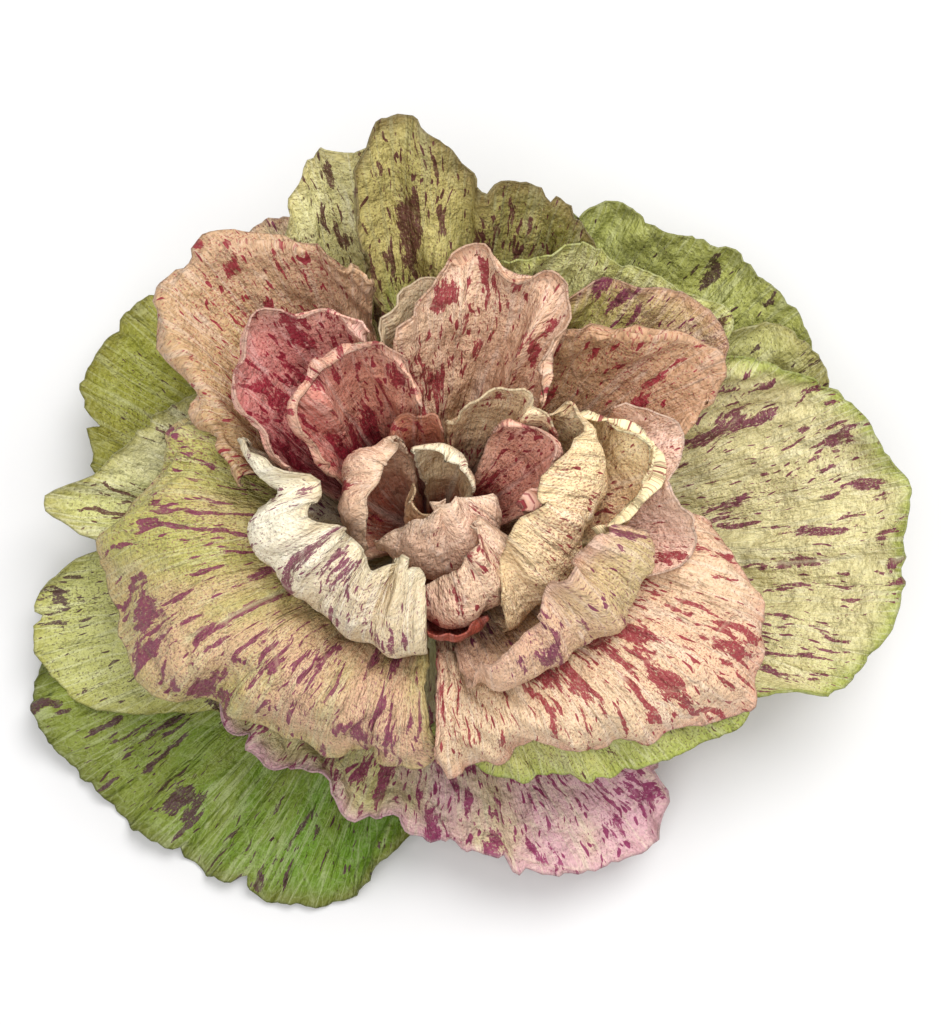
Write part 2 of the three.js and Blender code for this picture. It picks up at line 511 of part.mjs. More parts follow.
// The closed blade: two skins half the thickness to each side of the spokes, and a wall round the edge
function bladeGeometry(leaf) {
  const rows = leaf.rows;
  const count = leaf.spokes.length;
  const position = [];
  const skin = (side) => {
    leaf.spokes.forEach((points, i) => {
      const azimuth = radians(leaf.first + i * leaf.step);
      points.forEach((point, row) => {
        const before = leftOf(points[Math.max(row - 1, 0)], points[Math.max(row, 1)]);
        const after = leftOf(points[Math.min(row, rows - 2)], points[Math.min(row + 1, rows - 1)]);
        const normal = before.clone().add(after).normalize();
        const miter = 1 / Math.max(normal.dot(after), MITER_LEAST);
        const edge = point.clone().addScaledVector(normal, side * (BLADE / 2) * miter);
        position.push(edge.x * Math.cos(azimuth), edge.x * Math.sin(azimuth), edge.y);
      });
    });
  };
  skin(1);
  skin(-1);
  const under = count * rows;
  const at = (i, row) => i * rows + row;
  const index = [];
  for (let i = 0; i < count - 1; i += 1) {
    for (let row = 0; row < rows - 1; row += 1) {
      const [a, b, d, e] = [at(i, row), at(i, row + 1), at(i + 1, row), at(i + 1, row + 1)];
      index.push(a, b, e, a, e, d);
      index.push(under + a, under + e, under + b, under + a, under + d, under + e);
    }
  }
  const loop = [];
  for (let row = 0; row < rows; row += 1) loop.push(at(0, row));
  for (let i = 1; i < count; i += 1) loop.push(at(i, rows - 1));
  for (let row = rows - 2; row >= 0; row -= 1) loop.push(at(count - 1, row));
  for (let i = count - 2; i > 0; i -= 1) loop.push(at(i, 0));
  loop.forEach((p, k) => {
    const q = loop[(k + 1) % loop.length];
    index.push(q, p, under + p, q, under + p, under + q);
  });
  const geometry = new THREE.BufferGeometry();
  geometry.setAttribute('position', new THREE.Float32BufferAttribute(position, 3));
  geometry.setIndex(index);
  geometry.computeVertexNormals();
  return geometry;
}

function stemGeometry() {
  const outline = [
    new THREE.Vector2(0, 0),
    ...stemOutline.slice().reverse().slice(0, -1),
    new THREE.Vector2(0, STEM_TOP),
  ];
  return new THREE.LatheGeometry(outline, STEM_SIDES).rotateX(Math.PI / 2);
}

function makeMesh(name, geometry, tint) {
  const mesh = new THREE.Mesh(geometry, new THREE.MeshStandardMaterial({ ...TINTS[tint], metalness: 0 }));
  mesh.name = name;
  return mesh;
}

const head = new THREE.Group();
head.name = 'radicchio_head';
head.add(makeMesh('stem', stemGeometry(), 'stem'));

const random = makeRandom(SEED);
const grown = [];
LEAVES.forEach((spec, order) => {
  const first = Math.round(spec.rim[0][0] / spec.step) * spec.step;
  const last = first + Math.round((spec.rim[spec.rim.length - 1][0] - first) / spec.step) * spec.step;
  const leaf = { ...spec, first, last, foot: FOOT_LOW + FOOT_RISE * order };
  leaf.spokes = unfold(leaf, random);
  bendClear(leaf, grown);
  grown.push(leaf);
  head.add(makeMesh(leaf.name, bladeGeometry(leaf), leaf.tint));
});

// The origin is the middle of the head's box, on the surface that it rests on
const box = new THREE.Box3().setFromObject(head);
head.position.set(-(box.min.x + box.max.x) / 2, -(box.min.y + box.max.y) / 2, -box.min.z);
head.updateMatrixWorld(true);

export default head;
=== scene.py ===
# The look of a variegated radicchio head: every leaf is laid out again from its solid as a fine waved sheet,
# with veins, crinkles and a toothed edge, and gets a leaf material with streaks that follow its veins.

import bmesh
import bpy
import math
import numpy as np
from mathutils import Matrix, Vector, noise
from mathutils.bvhtree import BVHTree


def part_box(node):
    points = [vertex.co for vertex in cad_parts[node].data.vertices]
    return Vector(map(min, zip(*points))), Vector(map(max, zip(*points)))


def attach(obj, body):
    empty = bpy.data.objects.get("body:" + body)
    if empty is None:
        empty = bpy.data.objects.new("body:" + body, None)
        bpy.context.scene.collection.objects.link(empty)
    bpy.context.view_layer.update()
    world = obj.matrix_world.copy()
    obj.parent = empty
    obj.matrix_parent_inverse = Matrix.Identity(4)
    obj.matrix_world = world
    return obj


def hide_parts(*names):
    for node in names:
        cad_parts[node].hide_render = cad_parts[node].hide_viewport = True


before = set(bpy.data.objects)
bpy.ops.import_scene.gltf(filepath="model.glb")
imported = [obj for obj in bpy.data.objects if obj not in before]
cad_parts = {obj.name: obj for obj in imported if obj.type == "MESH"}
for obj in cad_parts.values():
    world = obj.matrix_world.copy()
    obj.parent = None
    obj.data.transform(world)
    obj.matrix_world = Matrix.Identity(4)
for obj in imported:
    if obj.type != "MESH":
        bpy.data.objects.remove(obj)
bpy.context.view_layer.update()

# Sizes in metres, angles in degrees
MM = 0.001
SPOKE_STEP = 4.0  # the solids' spokes stand on whole multiples of this, round the stem's axis
WELD = 0.002 * MM
NO_LENGTH = 1e-12  # keeps a vector without length from dividing by nothing
POINT_SPACING = 1.5 * MM  # between the points of a leaf's fine sheet
COLUMN_LIMITS = (26, 130)
ROW_LIMITS = (22, 70)
COLUMN_SHARE = 1.15  # more points than the spacing asks for, as a relief needs them
ROW_SHARE = 1.1
RIM_CROWDING = 1.25  # above 1, a sheet's rows stand closer to each other at its rim
FLOOR_HEIGHT = 0.8 * MM
FOOT_SUNK = 2.6 * MM  # how far a leaf's foot runs into the stem
LAMINA_THICKNESS = 0.55 * MM
RIB_THICKNESS = 2.0 * MM
UV_UNIT = 10.0 * MM  # one unit of the leaf's UV map
MASKS = ("vein", "margin", "foot", "turn", "thick")

stem_low, stem_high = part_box("stem")
AXIS = Vector(((stem_low.x + stem_high.x) / 2, (stem_low.y + stem_high.y) / 2, 0.0))


# Camera, at the photograph's viewing angle
PHOTO_HEIGHT = 1024
CAMERA_ELEVATION = math.radians(76.0)
STRAIGHT_UP = math.radians(90.0)
CAMERA_DISTANCE = 0.640
PIXELS_PER_METRE = 3680.0  # at the target's distance
TARGET = AXIS + Vector((0.0100, 0.0024, 0.0450))
SENSOR = 36.0
CLIP_START = 0.01


def add_camera():
    camera_data = bpy.data.cameras.new("camera")
    camera_data.sensor_width = SENSOR
    camera_data.sensor_fit = "AUTO"
    camera_data.lens = PIXELS_PER_METRE * CAMERA_DISTANCE * SENSOR / PHOTO_HEIGHT
    camera_data.clip_start = CLIP_START
    camera = bpy.data.objects.new("camera", camera_data)
    bpy.context.scene.collection.objects.link(camera)
    back = Vector((0.0, -math.cos(CAMERA_ELEVATION), math.sin(CAMERA_ELEVATION)))
    camera.location = TARGET + back * CAMERA_DISTANCE
    camera.rotation_euler = (STRAIGHT_UP - CAMERA_ELEVATION, 0.0, 0.0)
    bpy.context.scene.camera = camera


# The leaf's solid, read back as rows of points along its spokes

def spoke_number(point):
    return round(math.degrees(math.atan2(point.y - AXIS.y, point.x - AXIS.x)) / SPOKE_STEP)


def walk_ring(start, links):
    """The closed ring of vertices round one spoke's section, from any vertex on it."""
    ring = [start]
    previous, current = None, start
    while True:
        ahead = [v for v in links[current] if v != previous]
        previous, current = current, ahead[0]
        if current == start:
            return ring
        ring.append(current)


def middle_line(ring, places):
    """The middles of a blade's section from its foot to its rim, each from the two skins' vertices."""
    count = len(ring) // 2
    best = None
    for shift in range(count):
        upper = [places[ring[(shift + i) % (2 * count)]] for i in range(count)]
        lower = [places[ring[(shift - 1 - i) % (2 * count)]] for i in range(count)]
        spread = sum((a - b).length for a, b in zip(upper, lower))
        if best is None or spread < best[0]:
            best = (spread, [(a + b) / 2 for a, b in zip(upper, lower)])
    line = best[1]
    return line if line[0].x + line[0].y < line[-1].x + line[-1].y else line[::-1]


def spokes_of(node):
    """A leaf's spokes in order of azimuth: first azimuth, step and an array of reach and height."""
    bm = bmesh.new()
    bm.from_mesh(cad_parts[node].data)
    bmesh.ops.remove_doubles(bm, verts=bm.verts[:], dist=WELD)
    bm.verts.index_update()
    column = {v.index: spoke_number(v.co) for v in bm.verts}
    places = {}
    for v in bm.verts:
        reach = math.hypot(v.co.x - AXIS.x, v.co.y - AXIS.y)
        places[v.index] = Vector((reach, v.co.z))
    links = {v.index: set() for v in bm.verts}
    for face in bm.faces:
        corners = [v.index for v in face.verts]
        for i in range(3):
            a, b, c = corners[i], corners[(i + 1) % 3], corners[(i + 2) % 3]
            if column[a] == column[b] and column[c] != column[a]:
                links[a].add(b)
                links[b].add(a)
    bm.free()
    numbers = sorted(set(column.values()))
    turn = round(360.0 / SPOKE_STEP)
    step = min(b - a for a, b in zip(numbers, numbers[1:]))
    gaps = [(numbers[(i + 1) % len(numbers)] - number) % turn for i, number in enumerate(numbers)]
    first = (gaps.index(max(gaps)) + 1) % len(numbers)
    ordered = numbers[first:] + numbers[:first]
    lines = []
    for number in ordered:
        start = next(v for v in column if column[v] == number)
        lines.append(middle_line(walk_ring(start, links), places))
    azimuth = ordered[0] * SPOKE_STEP
    return azimuth, step * SPOKE_STEP, np.array([[tuple(p) for p in line] for line in lines])


def smooth_samples(points, places):
    """Points along the first axis of an array, on a smooth curve through them, at fractional places."""
    last = len(points) - 1
    low = np.clip(np.floor(places).astype(int), 0, last - 1)
    t = (places - low).reshape((-1,) + (1,) * (points.ndim - 1))
    a = points[np.maximum(low - 1, 0)]
    b = points[low]
    c = points[low + 1]
    d = points[np.minimum(low + 2, last)]
    return b + 0.5 * t * (c - a + t * (2 * a - 5 * b + 4 * c - d + t * (3 * (b - c) + d - a)))


# Fine relief of a leaf's sheet. x runs across the leaf and y from its foot, both in millimetres.

VEIN_SPACING = 13.0
VEIN_SLANT = 0.85
SLANT_EASE = 0.25  # by what share the slant is less at the rim
VEIN_WIDTH = 1.1
VEIN_START = 0.25  # share of the leaf's length at which the side veins are full
SIDE_VEIN_SHARE = 0.6  # of the middle rib's height
RIB_TIP_WIDTH = 0.8
RIB_FOOT_WIDTH = 4.6  # more than at the tip
RIB_LENGTH = 0.85  # share of the leaf's length
RIB_TAPER = 1.6
RIB_CORE = 0.6  # share of the rib's width that shows as a vein
RIB_SWAY_DEPTH = 3.5
VEIN_WANDER_DEPTH = 4.0
TOOTH_SPACING = 6.5
TOOTH_LEAN = 0.7  # share of a tooth's width before its tip
TOOTH_DRIFT = 6.0
TOOTHED_SHARE = 0.45
TOOTHED_SPREAD = 1.1
TOOTH_SIZE = (0.6, 0.4)  # its mean and how much it changes from tooth to tooth
NICK_SPACING = 26.0
NICK_WIDTH = 2.4
NICK_SCATTER = 0.25
JAG_FADE = 3.2  # how far into the blade a tooth or a nick pulls it
SIDE_JAG = 0.7  # share of the rim's teeth along a leaf's sides
SIDE_HEM = 0.6  # share of the rim's wave along a leaf's sides
CORNER_ROUNDING = 5.0
SIDE_WANDER = 2.0
SIDE_WANDER_START = 3.0  # the wandering is full at one over this of the leaf's length
SIDE_FADE = 12.0  # how far into the blade its side's wandering reaches
BROAD_LEAF = 90.0 * MM  # narrower leaves have less of both
END_DROP = 2.4  # how far the rim draws in at a leaf's two ends
END_REACH = 12.0 * MM
RELIEF_START = 0.3  # share of the leaf's length at which the relief is full
VEIN_CALM = 0.7  # how much a vein flattens the blisters on it
MARGIN_FADE = 5.0
MARGIN_FOOT = 6.0  # how much farther the margin seems at the foot
FOOT_MASK_LENGTH = 0.8
RIB_THICK_LENGTH = 0.7
LEAF_ROOM = 7.0  # the relief looks this far for a neighbour
ROOM_SHARE = 0.42  # of the room to the next leaf that the relief may take
ROOM_SOFTNESS = 2  # grid points over which a limit comes in
SWELL_SHARE = 0.25  # of the room on both sides that a swollen rib may take
SIDE_SEED = 5.0
END_SEED = 2.0  # keeps a leaf's two sides from matching
SIDE_HEM_START = 200.0  # keeps a side's wave apart from the rim's
SIDE_JAG_START = 300.0

# Noise over the blade: turns per millimetre across and along it, and an offset that keeps the layers apart
RIB_SWAY = (0.03, 0.03, 0.0)
VEIN_WANDER = (0.05, 0.05, 7.0)
BLISTERS = (0.075, 0.05, 11.0)
CRINKLES = (0.24, 0.12, 23.0)
PLEATS = (0.16, 0.025, 29.0)
RELIEF_LAYERS = ((BLISTERS, 0.8), (CRINKLES, 0.4), (PLEATS, 0.9))

# Noise along an edge: turns per millimetre and an offset
EDGE_DRIFT = (0.07, 3.0)
TOOTHED_STRETCH = (0.03, 13.0)
FINE_EDGE = (0.4, 17.0)
SLOW_EDGE = (0.09, 19.0)
SLOW_HEM = (0.045, 31.0)
QUICK_HEM = (0.11, 41.0)
SIDE_PATH = (0.08, 51.0)
TOOTH_CELLS = 9.0
NICK_PLACES = 21.0
NICK_DEPTHS = 27.0
SLOW_EDGE_DEPTH = 0.7
FINE_EDGE_DEPTH = 0.4
SLOW_HEM_DEPTH = 1.2
QUICK_HEM_DEPTH = 0.8


def blade_noise(layer, x, y, seed):
    across, along, offset = layer
    return noise.noise(Vector((x * across, y * along, seed + offset)))


def edge_noise(layer, place, seed):
    pace, offset = layer
    return noise.noise(Vector((place * pace, seed, offset)))


def ridge(distance, width):
    return math.exp(-((distance / width) ** 2))


def rib_width(y, length):
    return RIB_TIP_WIDTH + RIB_FOOT_WIDTH * max(0.0, 1.0 - y / (RIB_LENGTH * length)) ** RIB_TAPER


def vein_height(x, y, length, seed):
    """0 on the blade, up to 1 on the middle rib and the side veins that fan from it."""
    sway = RIB_SWAY_DEPTH * blade_noise(RIB_SWAY, x, y, seed)
    rib = ridge(x + sway * y / length, rib_width(y, length) * RIB_CORE)
    lean = y - VEIN_SLANT * abs(x) * (1.0 - SLANT_EASE * y / length)
    wander = VEIN_WANDER_DEPTH * blade_noise(VEIN_WANDER, x, y, seed)
    along = (lean + wander) / VEIN_SPACING
    off = abs(along - round(along)) * VEIN_SPACING
    side = ridge(off, VEIN_WIDTH) * min(1.0, y / (VEIN_START * length))
    return max(rib, SIDE_VEIN_SHARE * side)


def crinkle(x, y, seed):
    """Blisters and pleats between the veins, about -1 to 1."""
    return sum(depth * blade_noise(layer, x, y, seed) for layer, depth in RELIEF_LAYERS)


def jag(place, seed):
    """An uneven edge at a place along it, about -1 in a bite to 1 at a tip. Some stretches have no teeth."""
    bent = (place + TOOTH_DRIFT * edge_noise(EDGE_DRIFT, place, seed)) / TOOTH_SPACING
    cell, part = math.floor(bent), bent % 1.0
    stretch = max(0.0, TOOTHED_SHARE + TOOTHED_SPREAD * edge_noise(TOOTHED_STRETCH, place, seed))
    mean, spread = TOOTH_SIZE
    size = stretch * (mean + spread * noise.cell(Vector((cell, seed, TOOTH_CELLS))))
    tip = part / TOOTH_LEAN if part < TOOTH_LEAN else (1.0 - part) / (1.0 - TOOTH_LEAN)
    slow = edge_noise(SLOW_EDGE, place, seed)
    fine = edge_noise(FINE_EDGE, place, seed)
    return size * (tip - 0.5) + SLOW_EDGE_DEPTH * slow + FINE_EDGE_DEPTH * fine


def nick(place, seed):
    """Tears in the edge, few and far between: 1 at the bottom of the deepest."""
    far = place / NICK_SPACING
    cell, part = math.floor(far), far % 1.0
    centre = 0.5 + NICK_SCATTER * noise.cell(Vector((cell, seed, NICK_PLACES)))
    depth = max(0.0, noise.cell(Vector((cell, seed, NICK_DEPTHS))))
    return depth * max(0.0, 1.0 - abs(part - centre) * NICK_SPACING / NICK_WIDTH)


def corner_pull(y, length, seed):
    """How far a leaf's side stands in from its solid's straight side, rounding the corner at the rim."""
    wander = SIDE_WANDER * (1.0 + edge_noise(SIDE_PATH, y, seed))
    return CORNER_ROUNDING * (y / length) ** 3 + wander * min(1.0, SIDE_WANDER_START * y / length)


def hem_wave(place, seed):
    """Waves of a leaf's hem, about -1 to 1."""
    slow = edge_noise(SLOW_HEM, place, seed)
    quick = edge_noise(QUICK_HEM, place, seed)
    return SLOW_HEM_DEPTH * slow + QUICK_HEM_DEPTH * quick


class Habit:
    """How one kind of leaf grows: the depths of its relief in millimetres."""

    def __init__(self, teeth, nicks, wave, blister, vein, hem, foot_crowd):
        self.teeth = teeth
        self.nicks = nicks
        self.wave = wave
        self.blister = blister
        self.vein = vein
        self.hem = hem  # how far into the blade the waves of its edge reach
        self.foot_crowd = foot_crowd  # above 0, more streaks stand at the foot, and below 0 fewer


class Sheet:
    """A leaf's middle surface as a fine grid [column, row], with the measures that its relief needs."""

    def __init__(self, node):
        azimuth, step, spokes = spokes_of(node)
        foot = spokes[:, :1].copy()
        foot[:, :, 0] -= FOOT_SUNK
        spokes = np.concatenate([foot, spokes], axis=1)
        turn = step * (len(spokes) - 1)
        length = float(np.linalg.norm(np.diff(spokes, axis=1), axis=2).sum(axis=1).max())
        self.width = math.radians(turn) * float(np.median(spokes[:, :, 0].max(axis=1)))
        self.columns = int(np.clip(COLUMN_SHARE * self.width / POINT_SPACING, *COLUMN_LIMITS)) + 1
        self.rows = int(np.clip(ROW_SHARE * length / POINT_SPACING, *ROW_LIMITS)) + 1
        self.across = np.linspace(0.0, 1.0, self.columns)
        self.along = 1.0 - (1.0 - np.linspace(0.0, 1.0, self.rows)) ** RIM_CROWDING
        lines = smooth_samples(spokes, self.across * (len(spokes) - 1)).transpose(1, 0, 2)
        grid = smooth_samples(lines, self.along * (spokes.shape[1] - 1)).transpose(1, 0, 2)
        angle = np.radians(azimuth + self.across * turn)[:, None]
        x = AXIS.x + grid[:, :, 0] * np.cos(angle)
        y = AXIS.y + grid[:, :, 0] * np.sin(angle)
        self.points = np.stack([x, y, grid[:, :, 1]], axis=2)
        self.measure()

    def measure(self):
        """Lengths from the foot and the first side in millimetres, and the sheet's own directions."""
        up_step = np.linalg.norm(np.diff(self.points, axis=1), axis=2) / MM
        side_step = np.linalg.norm(np.diff(self.points, axis=0), axis=2) / MM
        self.from_foot = np.concatenate([np.zeros((self.columns, 1)), np.cumsum(up_step, axis=1)], axis=1)
        self.from_side = np.concatenate([np.zeros((1, self.rows)), np.cumsum(side_step, axis=0)], axis=0)
        self.side = unit(np.gradient(self.points, axis=0))
        self.outward = unit(np.gradient(self.points, axis=1))
        self.normal = unit(np.cross(self.outward, self.side))


def unit(vectors):
    return vectors / np.maximum(np.linalg.norm(vectors, axis=2, keepdims=True), NO_LENGTH)


def softened(values, reach):
    """The least value around each grid point, then smoothed, so that a limit comes in gently."""
    for _ in range(reach):
        padded = np.pad(values, 1, mode="edge")
        values = np.minimum.reduce([padded[1:-1, 1:-1], padded[:-2, 1:-1], padded[2:, 1:-1],
                                    padded[1:-1, :-2], padded[1:-1, 2:]])
    for _ in range(2 * reach):
        padded = np.pad(values, 1, mode="edge")
        values = (padded[:-2, 1:-1] + padded[2:, 1:-1] + padded[1:-1, :-2] + padded[1:-1, 2:]) / 4
    return values


def tree_of_others(node):
    """All solids but one leaf's own, to look for the room round it."""
    corners, faces = [], []
    for name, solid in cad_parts.items():
        if name in (node, "stem"):
            continue
        base = len(corners)
        corners.extend(v.co for v in solid.data.vertices)
        faces.extend([base + i for i in face.vertices] for face in solid.data.polygons)
    return BVHTree.FromPolygons(corners, faces)


def room_beside(sheet, node):
    """Millimetres free on the normal's side of the sheet and on the other side."""
    tree = tree_of_others(node)
    free = []
    for sign in (1.0, -1.0):
        room = np.full((sheet.columns, sheet.rows), LEAF_ROOM)
        for i in range(sheet.columns):
            for j in range(sheet.rows):
                direction = Vector(sign * sheet.normal[i, j])
                hit = tree.ray_cast(Vector(sheet.points[i, j]), direction, LEAF_ROOM * MM)
                if hit[3] is not None:
                    room[i, j] = hit[3] / MM
        free.append(softened(room, ROOM_SOFTNESS))
    return free


def grow_relief(sheet, node, habit, seed):
    """The sheet with its veins, blisters, waved hem and torn edge, and the masks for its finish."""
    room_up, room_down = room_beside(sheet, node)
    masks = {name: np.zeros((sheet.columns, sheet.rows)) for name in MASKS}
    moved = sheet.points.copy()
    for i in range(sheet.columns):
        share = sheet.across[i]
        rim_place = float(sheet.from_side[i, -1])
        whole = float(sheet.from_foot[i, -1])
        edge_bite = habit.teeth * jag(rim_place, seed) - habit.nicks * nick(rim_place, seed)
        side_near = max(0.0, 1.0 - min(share, 1.0 - share) * sheet.width / END_REACH)
        edge_bite -= END_DROP * side_near ** 2
        rim_hem = habit.wave * hem_wave(rim_place, seed)
        end = 1.0 if share > 0.5 else -1.0
        broad = min(1.0, sheet.width / BROAD_LEAF) ** 2
        for j in range(sheet.rows):
            y = float(sheet.from_foot[i, j])
            breadth = float(sheet.from_side[-1, j])
            x = float(sheet.from_side[i, j]) - breadth / 2
            to_side = breadth / 2 - abs(x)
            to_rim = whole - y
            grown = min(1.0, y / (RELIEF_START * whole))
            vein = vein_height(x, y, whole, seed)
            side_hem = SIDE_HEM * habit.wave * hem_wave(y + SIDE_HEM_START * end, seed + SIDE_SEED)
            lift = habit.blister * crinkle(x, y, seed) * (1.0 - VEIN_CALM * vein) * grown
            lift -= habit.vein * vein * grown
            lift += rim_hem * math.exp(-to_rim / habit.hem)
            lift += side_hem * math.exp(-to_side / (SIDE_HEM * habit.hem)) * grown
            lift = min(ROOM_SHARE * room_up[i, j], max(-ROOM_SHARE * room_down[i, j], lift))
            side_bite = SIDE_JAG * habit.teeth * jag(y + SIDE_JAG_START * end, seed + SIDE_SEED) * grown
            side_bite *= math.exp(-to_side / JAG_FADE)
            side_bite -= corner_pull(y, whole, seed + END_SEED * end) * math.exp(-to_side / SIDE_FADE) * broad
            moved[i, j] += sheet.normal[i, j] * lift * MM
            moved[i, j] += sheet.outward[i, j] * edge_bite * MM * math.exp(-to_rim / JAG_FADE)
            moved[i, j] += sheet.side[i, j] * end * side_bite * MM
            rib = ridge(x, rib_width(y, whole)) * max(0.0, 1.0 - y / (RIB_THICK_LENGTH * whole))
            to_edge = min(to_rim, to_side + MARGIN_FOOT * (1.0 - grown))
            masks["vein"][i, j] = vein
            masks["margin"][i, j] = math.exp(-to_edge / MARGIN_FADE)
            masks["foot"][i, j] = 1.0 - min(1.0, y / (FOOT_MASK_LENGTH * whole))
            masks["turn"][i, j] = share
            masks["thick"][i, j] = min(rib, SWELL_SHARE * (room_up[i, j] + room_down[i, j]))
    moved[:, :, 2] = np.maximum(moved[:, :, 2], FLOOR_HEIGHT)
    return moved, masks


def new_piece(name, bm):
    """What was built, as an object of the scene."""
    mesh = bpy.data.meshes.new(name)
    bm.to_mesh(mesh)
    bm.free()
    piece = bpy.data.objects.new(name, mesh)
    bpy.context.scene.collection.objects.link(piece)
    return piece


def leaf_piece(node, habit, seed):
    """One leaf as a mesh: a grid laid on the grown sheet, given its thickness by a modifier."""
    sheet = Sheet(node)
    moved, masks = grow_relief(sheet, node, habit, seed)
    bm = bmesh.new()
    bmesh.ops.create_grid(bm, x_segments=sheet.columns - 1, y_segments=sheet.rows - 1, size=1.0)
    uv_layer = bm.loops.layers.uv.new("spokes")
    layers = {name: bm.verts.layers.float.new(name) for name in MASKS if name != "thick"}
    weight = bm.verts.layers.deform.new()
    uv_of = {}
    for v in bm.verts:
        i = round((v.co.x + 1.0) / 2.0 * (sheet.columns - 1))
        j = round((v.co.y + 1.0) / 2.0 * (sheet.rows - 1))
        v.co = Vector(moved[i, j])
        lateral = (sheet.across[i] - 0.5) * sheet.width
        uv_of[v] = (lateral / UV_UNIT, sheet.from_foot[i, j] * MM / UV_UNIT + seed)
        v[weight][0] = masks["thick"][i, j]
        for name, layer in layers.items():
            v[layer] = masks[name][i, j]
    for face in bm.faces:
        face.smooth = True
        for loop in face.loops:
            loop[uv_layer].uv = uv_of[loop.vert]
    leaf = new_piece(node + "_leaf", bm)
    leaf.vertex_groups.new(name="thick")
    body = leaf.modifiers.new("body", "SOLIDIFY")
    body.thickness = RIB_THICKNESS
    body.offset = 0.0
    body.vertex_group = "thick"
    body.thickness_vertex_group = LAMINA_THICKNESS / RIB_THICKNESS
    return leaf


# Shared effects: node groups with named sockets

def new_group(name, inputs, outputs):
    group = bpy.data.node_groups.new(name, "ShaderNodeTree")
    for label, kind, value in inputs:
        socket = group.interface.new_socket(label, in_out="INPUT", socket_type=kind)
        if value is not None:
            socket.default_value = value
    for label, kind in outputs:
        group.interface.new_socket(label, in_out="OUTPUT", socket_type=kind)
    entry = group.nodes.new("NodeGroupInput")
    leave = group.nodes.new("NodeGroupOutput")
    return group, entry, leave


def feed(tree, socket, value):
    """A number or a colour set on a node's socket, or another node's output linked to it."""
    if isinstance(value, (int, float)):
        socket.default_value = value
    elif isinstance(value, tuple):
        socket.default_value = (*value, 1.0)
    else:
        tree.links.new(value, socket)


def add_math(tree, operation, a, b=None, clamp=False):
    node = tree.nodes.new("ShaderNodeMath")
    node.operation = operation
    node.use_clamp = clamp
    feed(tree, node.inputs[0], a)
    if b is not None:
        feed(tree, node.inputs[1], b)
    return node.outputs[0]


def add_step(tree, value, low, high):
    """0 below low, 1 above high, smooth between. A low above high turns it round."""
    node = tree.nodes.new("ShaderNodeMapRange")
    node.interpolation_type = "SMOOTHSTEP"
    feed(tree, node.inputs["Value"], value)
    feed(tree, node.inputs["From Min"], low)
    feed(tree, node.inputs["From Max"], high)
    return node.outputs["Result"]


def add_noise(tree, vector, scale, detail, roughness):
    node = tree.nodes.new("ShaderNodeTexNoise")
    node.inputs["Scale"].default_value = scale
    node.inputs["Detail"].default_value = detail
    node.inputs["Roughness"].default_value = roughness
    tree.links.new(vector, node.inputs["Vector"])
    return node.outputs["Fac"]


# The mix node's sockets for colours, by number because its other sockets have the same names
MIX_FACTOR = 0
MIX_FIRST = 6
MIX_SECOND = 7
MIX_RESULT = 2


def add_mix(tree, factor, a, b):
    node = tree.nodes.new("ShaderNodeMix")
    node.data_type = "RGBA"
    feed(tree, node.inputs[MIX_FACTOR], factor)
    feed(tree, node.inputs[MIX_FIRST], a)
    feed(tree, node.inputs[MIX_SECOND], b)
    return node.outputs[MIX_RESULT]


SHIFT_ALONG = 0.37  # share of a layer's shift that it gets along the leaf


def add_stretch(tree, vector, across, along, shift):
    """The UV map as one layer reads it: at its own rates across and along the leaf, and shifted."""
    node = tree.nodes.new("ShaderNodeMapping")
    node.inputs["Location"].default_value = (shift, SHIFT_ALONG * shift, shift)
    node.inputs["Scale"].default_value = (across, along, 1.0)
    tree.links.new(vector, node.inputs["Vector"])
    return node.outputs["Vector"]


SWAY_SCALE = 0.5
SWAY_DETAIL = 2.0
SWAY_REACH = (0.9, 0.5, 0.0)


def add_sway(tree, vector):
    """The UV map, bent a little so that streaks don't run dead straight."""
    node = tree.nodes.new("ShaderNodeTexNoise")
    node.inputs["Scale"].default_value = SWAY_SCALE
    node.inputs["Detail"].default_value = SWAY_DETAIL
    tree.links.new(vector, node.inputs["Vector"])
    scaled = tree.nodes.new("ShaderNodeVectorMath")
    scaled.operation = "MULTIPLY_ADD"
    scaled.inputs[1].default_value = SWAY_REACH
    tree.links.new(node.outputs["Color"], scaled.inputs[0])
    tree.links.new(vector, scaled.inputs[2])
    return scaled.outputs[0]


def centred(tree, value, depth):
    """A noise value as a change round 0, from minus to plus half the depth."""
    return add_math(tree, "MULTIPLY", add_math(tree, "SUBTRACT", value, 0.5), depth)


# Streaks. A stroke's size is its noise's rate across and along a unit of the UV map, its bar the noise value
# from which it shows, and its gain how far its amount lowers the bar.
BLOTCH = ((1.6, 0.38), 0.785, 0.13)
LONG_BLOTCH = ((4.2, 0.72), 0.785, 0.13)
DASH = ((9.0, 1.9), 0.77, 0.10)
SPECK = ((24.0, 13.0), 0.72, 0.12)
SPECK_STRENGTH = 0.62
STROKE_FINENESS = (1.0, 0.4)  # detail and roughness
STROKE_EDGE = (-0.006, 0.014)
FLECK_LEVELS = (0.54, 0.60)
FLECK_STRENGTH = 0.75

# Layers of noise over the UV map: rate across, rate along, shift, detail and roughness
FRAY_LAYER = (8.0, 2.4, 5.0, 4.0, 0.7)
PATCH_LAYER = (0.6, 0.35, 9.0, 1.0, 0.5)
GRAIN_LAYER = (17.0, 10.0, 4.0, 4.0, 0.8)
FAN_LAYER = (2.6, 0.16, 6.0, 2.0, 0.5)
PLEAT_LAYER = (3.2, 0.5, 2.0, 3.0, 0.55)
CRUMPLE_LAYER = (1.6, 1.2, 3.0, 4.0, 0.6)
CLOUD_LAYER = (0.6, 0.3, 1.0, 4.0, 0.55)
FRAY_DEPTH = 0.4
PATCH_DEPTH = 0.3
CLOUD_DEPTH = 1.4
CRUMPLE_DEPTH = 1.2

